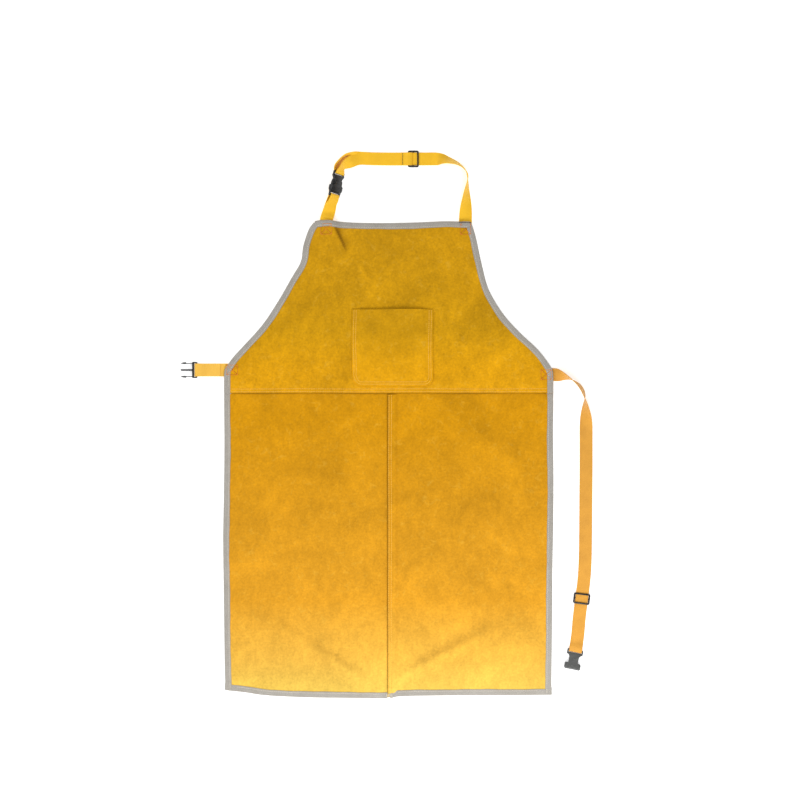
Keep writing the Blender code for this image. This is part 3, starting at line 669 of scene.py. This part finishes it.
def stitches(name, rows, mat):
    # rows: path in mm, the sewn surface's height, +1 for a front face or -1 for a back one, pitch, radius
    along, across, up, arch, quads, sides, rings = stitchShape
    verts, faces, count = [], [], 0
    for path, heightOf, face, pitch, radius in rows:
        spots = evenly(path, pitch)
        way, left = normalsOf(spots)
        z = heightOf(spots[:, 0], spots[:, 1])
        slope = np.gradient(z) / pitch
        for k in range(len(spots) - 1):
            mid = (spots[k] + spots[k + 1]) / 2
            rise = (z[k] + z[k + 1]) / 2
            half = pitch * 0.41
            px = mid[0] + way[k, 0] * along * half + left[k, 0] * across * radius
            py = mid[1] + way[k, 1] * along * half + left[k, 1] * across * radius
            pz = rise + along * half * slope[k] + face * (up * radius * 0.8 + arch * radius)
            verts.append(np.stack([px, py, pz], 1))
            base = count * sides * rings
            faces += [tuple(i + base for i in q) for q in quads]
            faces.append(tuple(base + i for i in range(sides)))
            faces.append(tuple(base + sides * rings - 1 - i for i in range(sides)))
            count += 1
    return newObject(name, np.vstack(verts), faces, mat, 60)


def frontOf(bottomOf, extra=0.0):
    return lambda x, y: bottomOf(x, y) + layers["leather"] + extra


def backOf(bottomOf, extra=0.0):
    return lambda x, y: bottomOf(x, y) - extra


def across(y, x0, x1):
    xs = np.linspace(x0, x1, 60)
    return np.stack([xs, y + 0.25 * np.sin(xs / 37)], 1)


def upright(x, y0, y1):
    ys = np.linspace(y0, y1, 60)
    return np.stack([x + 0.3 * np.sin(ys / 41), ys], 1)


def insetPath(path, side, d):
    path = evenly(path, tapeStep)
    _, left = normalsOf(path)
    return path + left * side * d


thread = {"seam": (4.4, 0.6), "pocket": (4.0, 0.55), "tape": (4.2, 0.42), "box": (3.2, 0.5)}
# The tape's outer faces stand this far off the leather
tapeFace = layers["tape"] + 0.15

seamRows = [(across(waistY + d, -306, 304), frontOf(bibBottom, -0.3), 1, *thread["seam"])
            for d in seamAt["waist"]]
seamRows += [(across(waistY + d, -304, 302), backOf(skirtBottom), -1, *thread["seam"])
             for d in seamAt["waist"]]
bibStitches = stitches("waistStitches", seamRows, goldThread)


def pocketRow(d):
    p = pocketShape
    (wideL, tallL), (wideR, tallR) = p["cornerLeft"], p["cornerRight"]
    turn = np.linspace(0, math.pi / 2, 12)
    down = np.linspace(p["high"] - 1, p["low"] + tallL + 2, 30)
    up = np.linspace(p["low"] + tallR + 2, p["high"] - 1, 30)
    path = np.vstack([
        np.stack([pocketLeft(down), down], 1),
        np.stack([p["left"] + wideL * (1 - np.cos(turn)), p["low"] + tallL * (1 - np.sin(turn))], 1),
        np.stack([p["right"] - wideR * (1 - np.cos(turn)), p["low"] + tallR * (1 - np.sin(turn))], 1)[::-1],
        np.stack([pocketRight(up), up], 1)])
    return insetPath(path, 1, d)


pocketRows = [(pocketRow(d), frontOf(pocketBottom, -0.3), 1, *thread["pocket"]) for d in seamAt["pocket"]]
pocketRows += [(pocketRow(d), backOf(bibBottom), -1, *thread["pocket"]) for d in seamAt["pocket"]]
pocketStitches = stitches("pocketStitches", pocketRows, goldThread)

centreTop = waistY - 1.5
centreFront = frontOf(skirtRightBottom, -0.3)
centreRows = [(upright(seamX + d, hemY(0) + 12, centreTop), centreFront, 1, *thread["seam"])
              for d in seamAt["centre"]]
centreRows += [(upright(seamX + d, hemY(0) + 12, waistY + 8), backOf(skirtBottom), -1, *thread["seam"])
               for d in seamAt["centre"]]
centreStitches = stitches("centreStitches", centreRows, goldThread)

tapeStitches = {}
for name, (path, side, bottomOf, _, overEnds) in bindings.items():
    row = insetPath(path, side, layers["tapeWidth"] - 2.6)
    run = np.arange(len(row)) * tapeStep
    row = row[(run > 13 * (1 - overEnds[0])) & (run < run[-1] - 13 * (1 - overEnds[1]))]
    ends = [e for e, over in zip((row[0], row[-1]), overEnds) if over]

    def over(x, y, ends=ends):
        rise = layers["overTape"]
        return sum((rise * (1 - smooth((np.hypot(x - e[0], y - e[1]) - 12) / 4)) for e in ends), 0 * x)

    def front(x, y, f=bottomOf, over=over):
        return frontOf(f, tapeFace)(x, y) + over(x, y)

    def back(x, y, f=bottomOf, over=over):
        return backOf(f, tapeFace)(x, y) - over(x, y)

    both = [(row, front, 1, *thread["tape"]), (row, back, -1, *thread["tape"])]
    tapeStitches[name] = stitches(name.replace("binding", "tapeStitches"), both, greyThread)

# The knot of bar stitches where the two hem tapes meet
barFace = frontOf(skirtBottom, tapeFace + 0.25)
barRows = [(np.array([(x, hemY(0.0) + 1.5), (x, hemY(0.0) + 9.5)]), barFace, 1, 2.6, 0.5)
           for x in np.arange(-6.0, 6.1, 1.6)]
barTack = stitches("hemBarTack", barRows, greyThread)

# Dark tacking where the neck webbing leaves the top tape
tackRow = np.array([(133.5, topY(133.5) - 1.2), (158.5, topY(152.0) - 1.2)])
neckTack = stitches("neckTack", [(tackRow, frontOf(bibBottom, tapeFace + 0.7), 1, 2.6, 0.85)], darkThread)


def boxRows(x0, x1, y0, y1, extra):
    corners = [(x0, y0), (x1, y0), (x1, y1), (x0, y1), (x0, y0)]
    lines = [np.array([a, b]) for a, b in zip(corners, corners[1:])]
    lines += [np.array([(x0, y0), (x1, y1)]), np.array([(x1, y0), (x0, y1)])]
    rows = [(line, frontOf(bibBottom, extra), 1, *thread["box"]) for line in lines]
    return rows + [(line, ground, -1, *thread["box"]) for line in lines]


rootBoxes = boxRows(-133, -112, 889, 909, tapeFace) + boxRows(137, 157, 889, 909, tapeFace)
rootBoxes += boxRows(-315, -294, 617, 636, tapeFace) + boxRows(293, 313, 608, 627, tapeFace)
boxStitches = stitches("strapBoxStitches", rootBoxes, orangeThread)
print("seams stitched")


# Webbing

webShape = {"half": 12.5, "thick": 1.3, "layer": 1.6, "wrap": 2.95, "barOffset": 0.45}
flapReach = {"neck": 48, "waist": 46, "slider": 23}


def rooted(points, count):
    # the first points lie on the surface under the bib
    out = []
    for k, (x, y, z, roll) in enumerate(points):
        lift = float(ground(np.array(float(x)), np.array(float(y)))) if k < count else 0.0
        out.append((x, y, z + lift, roll))
    return out


neckRoute = rooted([
    (147, 872, 0.65, 0), (147, 892, 0.65, 0), (147, 914, 0.9, 0), (147.6, 935, 5.2, 18), (149, 968, 12, 60),
    (151.3, 998, 13.4, 90), (146, 1013, 13.4, 84), (132, 1025, 12.6, 72), (110, 1032.5, 10.4, 48),
    (90, 1035, 3.7, 2), (70, 1035, 3.6, 0), (46, 1035, 3.6, 0), (20, 1035, 3.6, 0), (-6, 1035, 3.6, 0),
    (-34, 1035.5, 3.6, 0), (-60, 1035.5, 6.4, -10), (-77, 1027.5, 13.8, -34), (-91.5, 1018.4, 15.8, -68),
    (-97.42, 1007.29, 15.6, -52), (-102.14, 985.8, 15.6, -52)], 3)
# The layer that comes back from the neck buckle stands on edge, apart from the strap in front
outerPart = [(-60, 1036.5, 6.2, -12), (-83, 1037.5, 14.6, -72), (-98.2, 1021, 16, -68)]
neckOuterRoute = neckRoute[:15] + outerPart + neckRoute[18:]
neckStubRoute = rooted([
    (-122.4, 872, 0.65, 0), (-122.4, 892, 0.65, 0), (-122, 915, 0.9, 0), (-117.6, 931.5, 5.8, 17),
    (-112.2, 947.4, 12.2, 38), (-107.2, 962.8, 15.6, 52), (-102.47, 984.3, 15.6, 52)], 3)
waistRoute = rooted([
    (279, 617.5, 0.65, 0), (298, 617.5, 0.65, 0), (320, 617.5, 0.9, 0), (335, 615, 10.2, 52),
    (351.6, 608, 13.6, 90), (368, 595, 12.6, 107), (376.5, 577, 13.6, 102), (379, 554, 12, 64),
    (380.2, 526, 6.4, 22), (380.5, 496, 3.6, 0), (380.5, 440, 3.6, 0), (380, 380, 3.6, 0),
    (379.6, 320, 3.6, 0), (378.8, 262, 3.6, 0), (376.52, 221.7, 3.6, 0), (371.9, 184, 3.6, 0),
    (367.28, 146.3, 3.6, 0), (364.3, 113, 3.9, 0), (359.8, 84, 4.4, 0), (352, 50, 4.4, 0)], 3)
waistStubRoute = rooted([
    (-279, 626.6, 0.65, 0), (-298, 626.6, 0.65, 0), (-320, 626.6, 0.9, 0), (-336, 626.6, 2.6, 0),
    (-350, 626.6, 3.8, 0), (-373.5, 626.6, 3.8, 0), (-405, 626.6, 3.8, 0)], 3)


class Route:
    def __init__(self, points):
        dense = through(points, 16)
        self.at = dense[:, :3]
        self.roll = np.radians(dense[:, 3])
        self.run = np.concatenate([[0], np.cumsum(np.linalg.norm(np.diff(self.at, axis=0), axis=1))])

    def nearest(self, point):
        return float(self.run[np.argmin(np.linalg.norm(self.at - np.array(point, float), axis=1))])

    def frame(self, s):
        place = Vector([np.interp(s, self.run, self.at[:, k]) for k in range(3)])
        ahead = Vector([np.interp(s + 1, self.run, self.at[:, k]) for k in range(3)])
        back = Vector([np.interp(s - 1, self.run, self.at[:, k]) for k in range(3)])
        along = (ahead - back).normalized()
        roll = float(np.interp(s, self.run, self.roll))
        side = Vector((0, 0, 1)).cross(along).normalized()
        side.rotate(Matrix.Rotation(roll, 3, along))
        return place, along, side, along.cross(side)

    def matrix(self, s):
        place, along, side, normal = self.frame(s)
        place = Vector(world(place))
        return Matrix.Translation(place) @ Matrix((-side, along, normal)).transposed().to_4x4()


def webbing(name, route, run, mat, startV=0.0):
    # run lists (length along the route, height off its middle); the section has round selvedges
    half, t = webShape["half"], webShape["thick"] / 2
    middles, sides = [], []
    for s, height in run:
        place, _, side, normal = route.frame(s)
        middles.append(np.array(place + normal * height))
        sides.append(np.array(side))
    middles, sides = np.array(middles), np.array(sides)
    travel = np.gradient(middles, axis=0)
    face = np.cross(travel, sides)
    face /= np.linalg.norm(face, axis=1)[:, None]
    lengths = startV + np.concatenate([[0], np.cumsum(np.linalg.norm(np.diff(middles, axis=0), axis=1))])
    spots = [(1, 0), (0.985, 0.7), (0.95, 1.05), (0.9, 1.05), (0.84, 0.9), (0.5, 0.92), (0, 0.95),
             (-0.5, 0.92), (-0.84, 0.9), (-0.9, 1.05), (-0.95, 1.05), (-0.985, 0.7), (-1, 0)]
    loop = spots + [(a, -b) for a, b in spots[-2:0:-1]]
    sections, uvs = [], []
    for a, b in loop:
        sections.append(middles + sides * half * a + face * t * b)
        uvs.append(np.stack([np.full(len(lengths), half * a), lengths], 1))
    obj = sweep(name, np.stack(sections, 1), mat, np.stack(uvs, 1), 60)
    return obj, middles, float(lengths[-1] - startV)


def steps(a, b, step=2.5):
    return np.linspace(a, b, max(2, int(abs(b - a) / step) + 1))


def roundBar(bar, first, count=10):
    turn = [math.pi / 2 - math.pi * k / count for k in range(count + 1)]
    wrap = webShape["wrap"]
    return [(bar + webShape["barOffset"] + wrap * math.cos(a), first * wrap * math.sin(a)) for a in turn]


def stubRun(bar, flap):
    # from the seam round the plug's bar and back; flap is how far the return layer reaches from the bar
    wrap, layer = webShape["wrap"], webShape["layer"]
    reach = bar - 6

    def low(s):
        return -wrap * float(smooth((s - bar + 45) / 39))

    out = [(s, low(s)) for s in steps(0, reach)]
    back = []
    for s in steps(reach, bar - flap)[1:]:
        t = float(smooth((reach - s) / 16))
        back.append((s, wrap * (1 - t) + (low(s) + layer) * t))
    return out + roundBar(bar, -1) + back


def loopRun(slide, bar):
    # on from the slider and round the buckle's bar
    wrap, turnIn = webShape["wrap"], bar - 5
    out = [(s, wrap * float(smooth((s - turnIn) / 14 + 1))) for s in steps(slide, turnIn)]
    return out + roundBar(bar, 1) + [(turnIn, -wrap)]


def returnRun(slide, bar, bulge, first, last):
    # back under the strap; first and last are shares of the way from the bar to the slider
    wrap, layer = webShape["wrap"], webShape["layer"]
    turnIn = bar - 5
    way = turnIn - slide - 2
    run = []
    for s in steps(turnIn - first * way, turnIn - last * way):
        loose = bulge * math.sin(math.pi * min(1, max(0, (turnIn - s) / 46))) ** 1.3
        run.append((s, -layer - (wrap - layer) * float(smooth((s - turnIn) / 14 + 1)) - loose))
    return run


def flapRun(slide, reach):
    # the sewn end: out from under the slider's end bar, over it, and down on to the strap
    heights = [(2.2, 1.5), (4.5, 2.6), (7.0, 3.45), (9.0, 3.55), (11.0, 3.4), (14.0, 2.2), (17.0, 1.5),
               (reach, 1.42)]
    return [(slide + s, h) for s, h in through(heights, 4)]


neck, neckStub, neckOuter = Route(neckRoute), Route(neckStubRoute), Route(neckOuterRoute)
waist, waistStub = Route(waistRoute), Route(waistStubRoute)
neckSlide, neckBar = neck.nearest((46, 1035, 3.6)), neck.nearest((-97.42, 1007.29, 15.6))
neckPlugBar = neckStub.nearest((-107.2, 962.8, 15.6))
waistSlide, waistBar = waist.nearest((371.9, 184, 3.6)), waist.nearest((359.8, 84, 4.4))
waistPlugBar = waistStub.nearest((-373.5, 626.6, 3.8))

straight = [(s, 0) for s in steps(0, neckSlide)]
neckStrap, neckLine, neckLength = webbing("neckStrap", neck, straight, neckWeave)
neckLoop, _, neckLoopLength = webbing("neckLoop", neck, loopRun(neckSlide, neckBar), neckWeave, neckLength)
sewnRun = returnRun(neckSlide, neckBar, 0, 0.6, 1)
meet = neckOuter.nearest(neck.frame(sewnRun[0][0])[0])
outerBar = neckOuter.nearest((-97.42, 1007.29, 15.6))
outerRun = returnRun(meet - 2, outerBar, 0, 0, 1)
neckReturn, _, neckReturnLength = webbing("neckReturn", neckOuter, outerRun, neckWeave,
                                          neckLength + neckLoopLength)
neckSewnEnd, _, neckSewnEndLength = webbing("neckSewnEnd", neck, sewnRun, neckWeave,
                                            neckLength + neckLoopLength + neckReturnLength)
neckEnd, _, neckEndLength = webbing("neckStub", neckStub, stubRun(neckPlugBar, flapReach["neck"]), neckWeave)
straight = [(s, 0) for s in steps(0, waistSlide)]
waistStrap, waistLine, waistLength = webbing("waistStrap", waist, straight, waistWeave)
waistLoop, _, waistLoopLength = webbing("waistLoop", waist, loopRun(waistSlide, waistBar), waistWeave,
                                        waistLength)
waistBack = returnRun(waistSlide, waistBar, 0.8, 0, 1)
waistReturn, _, waistReturnLength = webbing("waistReturn", waist, waistBack, waistWeave,
                                            waistLength + waistLoopLength)
waistEnd, _, waistEndLength = webbing("waistStub", waistStub, stubRun(waistPlugBar, flapReach["waist"]),
                                      stubWeave)
neckFlap, _, neckFlapLength = webbing("neckFlap", neck, flapRun(neckSlide, flapReach["slider"]), neckWeave)
# The dark row that closes the sewn end of the neck webbing
flapRow = np.array([(25.5, 1023.6), (25.5, 1046.4)])
flapTack = stitches("flapTack", [(flapRow, lambda x, y: 5.75 + 0 * x, 1, 2.8, 0.6)], darkThread)
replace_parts(neckStrap, "neck_strap", "neck_tail_right")
for obj in (neckLoop, neckReturn, neckSewnEnd):
    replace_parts(obj, "neck_adjusting_loop")
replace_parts(neckEnd, "neck_stub", "neck_tail_left")
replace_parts(waistStrap, "waist_strap", "waist_tail_right")
for obj in (waistLoop, waistReturn):
    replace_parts(obj, "waist_adjusting_loop")
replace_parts(waistEnd, "waist_stub", "waist_tail_left")
print("webbing laid:", round(neckLength + neckLoopLength), round(waistLength + waistLoopLength), "mm")


# Buckles and sliders

def detailBox(bm, place, x, y, z, bevel):
    # a bevelled bar added to a moulding; x, y and z are ranges in mm in the moulding's own frame
    made = bmesh.ops.create_cube(bm, size=1)["verts"]
    size = [(r[1] - r[0]) * 0.001 for r in (x, y, z)]
    centre = [(r[1] + r[0]) * 0.0005 for r in (x, y, z)]
    bmesh.ops.scale(bm, vec=size, verts=made)
    bmesh.ops.translate(bm, vec=centre, verts=made)
    # dict.fromkeys drops doubles and keeps the order they were made in
    edges = list(dict.fromkeys(e for v in made for e in v.link_edges))
    done = bmesh.ops.bevel(bm, geom=edges, offset=bevel * 0.001, segments=2, profile=0.5, affect="EDGES",
                           material=-1)
    kept = [v for v in made if v.is_valid]
    verts = list(dict.fromkeys([v for f in done["faces"] for v in f.verts] + kept))
    bmesh.ops.transform(bm, matrix=place, verts=verts)


def moulding(name, node, place, mat, bevel, details):
    # the node's shape with its edges rounded as moulded plastic, and ribs added
    bm = bmesh.new()
    bm.from_mesh(frame["nodes"][node].data)
    bmesh.ops.remove_doubles(bm, verts=bm.verts, dist=2e-6)
    bmesh.ops.dissolve_limit(bm, angle_limit=math.radians(1.5), verts=bm.verts, edges=bm.edges)
    sharp = [e for e in bm.edges if len(e.link_faces) == 2 and e.calc_face_angle(0) > math.radians(25)]
    bmesh.ops.bevel(bm, geom=sharp, offset=bevel * 0.001, segments=2, profile=0.5, affect="EDGES",
                    material=-1, clamp_overlap=True)
    for x, y, z, soft in details:
        detailBox(bm, place, x, y, z, soft)
    bmesh.ops.recalc_face_normals(bm, faces=bm.faces)
    mesh = bpy.data.meshes.new(name)
    bm.to_mesh(mesh)
    bm.free()
    mesh.materials.clear()
    mesh.materials.append(mat)
    mesh.shade_smooth()
    mesh.set_sharp_from_angle(angle=math.radians(32))
    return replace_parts(addObject(name, mesh), node)


def bothFaces(rows):
    return rows + [(x, y, (-z[1], -z[0]), soft) for x, y, z, soft in rows]


socketRibs = bothFaces(
    [((-11 + 0.6 * k, 11 - 0.6 * k), (33.2 - 2.3 * k, 34.3 - 2.3 * k), (4.0, 4.75), 0.25) for k in range(3)]
    + [((-13.6, -12.6), (27.5, 34.5), (4.0, 4.7), 0.25), ((12.6, 13.6), (27.5, 34.5), (4.0, 4.7), 0.25)]
    + [((-3.2, 3.2), (15.5, 17.0), (4.0, 4.6), 0.2), ((-5.4, 5.4), (20.4, 21.4), (4.0, 4.6), 0.2)])
plugRibs = bothFaces([((-13, 13), (5.9, 6.6), (2.4, 2.95), 0.2), ((-13, 13), (7.2, 7.8), (2.4, 2.95), 0.2),
                      ((-0.5, 0.5), (9, 27), (1.35, 1.75), 0.15)])
sliderRibs = [((-12.4 + 2.1 * k, -11.5 + 2.1 * k), (-1.3, 1.3), (-2.95, -2.55), 0.15) for k in range(12)]
sliderRibs += [((-14.6, -13.7), (-6.5, 6.5), (2.5, 3.0), 0.2), ((13.7, 14.6), (-6.5, 6.5), (2.5, 3.0), 0.2)]

neckPlugPlace = neckStub.matrix(neckPlugBar)
# Bar to bar of a closed buckle, in m
buckleSpan = 0.04555
facing = Matrix.Translation((0, buckleSpan, 0)) @ Matrix.Rotation(math.pi, 4, "Z")
waistPlugPlace = waistStub.matrix(waistPlugBar)
hardware = {
    "neckPlug": ("neck_buckle_plug", neckPlugPlace, acetal, 0.35, plugRibs, "neck_loop"),
    "neckLatchLeft": ("neck_latch_left", neckPlugPlace, acetal, 0.35, [], "neck_loop"),
    "neckLatchRight": ("neck_latch_right", neckPlugPlace, acetal, 0.35, [], "neck_loop"),
    "neckSocket": ("neck_buckle_socket", neckPlugPlace @ facing, acetal, 0.45, socketRibs, "neck_socket"),
    "neckSlider": ("neck_slider", neck.matrix(neckSlide), acetal, 0.4, sliderRibs, "neck_adjuster"),
    "waistPlug": ("waist_buckle_plug", waistPlugPlace, acetal, 0.35, plugRibs, "waist_stub"),
    "waistLatchLower": ("waist_latch_lower", waistPlugPlace, acetal, 0.35, [], "waist_latch_lower"),
    "waistLatchUpper": ("waist_latch_upper", waistPlugPlace, acetal, 0.35, [], "waist_latch_upper"),
    "waistSlider": ("waist_slider", waist.matrix(waistSlide), acetal, 0.4, sliderRibs, "waist_adjuster"),
    "waistSocket": ("waist_buckle_socket", waist.matrix(waistBar), acetalGrey, 0.45, socketRibs,
                    "waist_socket"),
}
for name, (node, place, mat, bevel, details, body) in hardware.items():
    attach(moulding(name, node, place, mat, bevel, details), body)
print("hardware moulded")


# What each piece rides on

def point(x, y, z):
    return tuple(world((x, y, z)))


for obj in (skirtLeft, skirtRight, centreStitches, bindingPieces["bindingSkirtLeft"],
            bindingPieces["bindingSkirtRight"], tapeStitches["bindingSkirtLeft"],
            tapeStitches["bindingSkirtRight"]):
    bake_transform(obj)
for key in ("bindingHemLeft", "bindingHemRight"):
    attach(bindingPieces[key], "skirt")
    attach(tapeStitches[key], "skirt")
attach(barTack, "skirt")
for key in ("bindingBibLeft", "bindingBibRight", "bindingTop"):
    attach(bindingPieces[key], "bib")
    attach(tapeStitches[key], "bib")
for obj in (bib, pocket, bibStitches, pocketStitches, boxStitches, neckTack):
    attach(obj, "bib")
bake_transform(neckStrap)
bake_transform(neckEnd)
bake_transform(waistStrap)
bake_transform(waistEnd)
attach(waistLoop, "waist_strap")
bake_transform(waistReturn)
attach(neckFlap, "neck_adjuster")
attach(flapTack, "neck_adjuster")
for obj in (neckLoop, neckReturn):
    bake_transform(obj)
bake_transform(neckSewnEnd)
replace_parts(skirtLeft, "skirt_panel_left")
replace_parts(skirtRight, "skirt_panel_right")
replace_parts(bib, "bib_panel")
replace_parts(pocket, "pocket_patch")

# Floor, light and camera

stageSettings = {"floorSize": 30.0, "floorDrop": 0.0002, "floorGlow": 0.42, "sky": 0.62,
                 "viewWidth": 1.5496, "distance": 4.2}
floorMesh = bpy.data.meshes.new("floor")
half = stageSettings["floorSize"] / 2
floorMesh.from_pydata([(-half, -half, 0), (half, -half, 0), (half, half, 0), (-half, half, 0)], [],
                      [(0, 1, 2, 3)])
floor = addObject("floor", floorMesh)
floor.location.z = -stageSettings["floorDrop"]
floorMat, _, floorShader = newMaterial("matt white paper")
floorShader.inputs["Base Color"].default_value = (0.95, 0.95, 0.95, 1)
floorShader.inputs["Roughness"].default_value = 0.9
floorShader.inputs["Emission Color"].default_value = (1, 1, 1, 1)
floorShader.inputs["Emission Strength"].default_value = stageSettings["floorGlow"]
floorMesh.materials.append(floorMat)

skyWorld = bpy.data.worlds.new("studio")
bpy.context.scene.world = skyWorld
skyWorld.use_nodes = True
background = skyWorld.node_tree.nodes["Background"]
background.inputs["Color"].default_value = (1, 1, 1, 1)
background.inputs["Strength"].default_value = stageSettings["sky"]


def areaLight(name, place, target, size, power, colour="#ffffff"):
    data = bpy.data.lights.new(name, "AREA")
    data.shape, data.size, data.energy = "SQUARE", size, power
    data.color = linear(colour)[:3]
    lamp = addObject(name, data)
    lamp.location = place
    lamp.rotation_euler = (Vector(target) - Vector(place)).to_track_quat("-Z", "Y").to_euler()


areaLight("hemSoftbox", (0.35, -1.35, 1.15), (0.0, -0.35, 0), 0.9, 24)
areaLight("sideSoftbox", (-1.6, 0.9, 1.3), (0, 0.1, 0), 1.0, 14)

cameraData = bpy.data.cameras.new("camera")
camera = addObject("camera", cameraData)
camera.location = (*point(20.3, 568.5, 0)[:2], stageSettings["distance"])
cameraData.sensor_width = 36
cameraData.lens = cameraData.sensor_width * stageSettings["distance"] / stageSettings["viewWidth"]
cameraData.clip_end = 50
bpy.context.scene.camera = camera
bpy.context.scene.view_settings.view_transform = "Standard"

print("scene done")
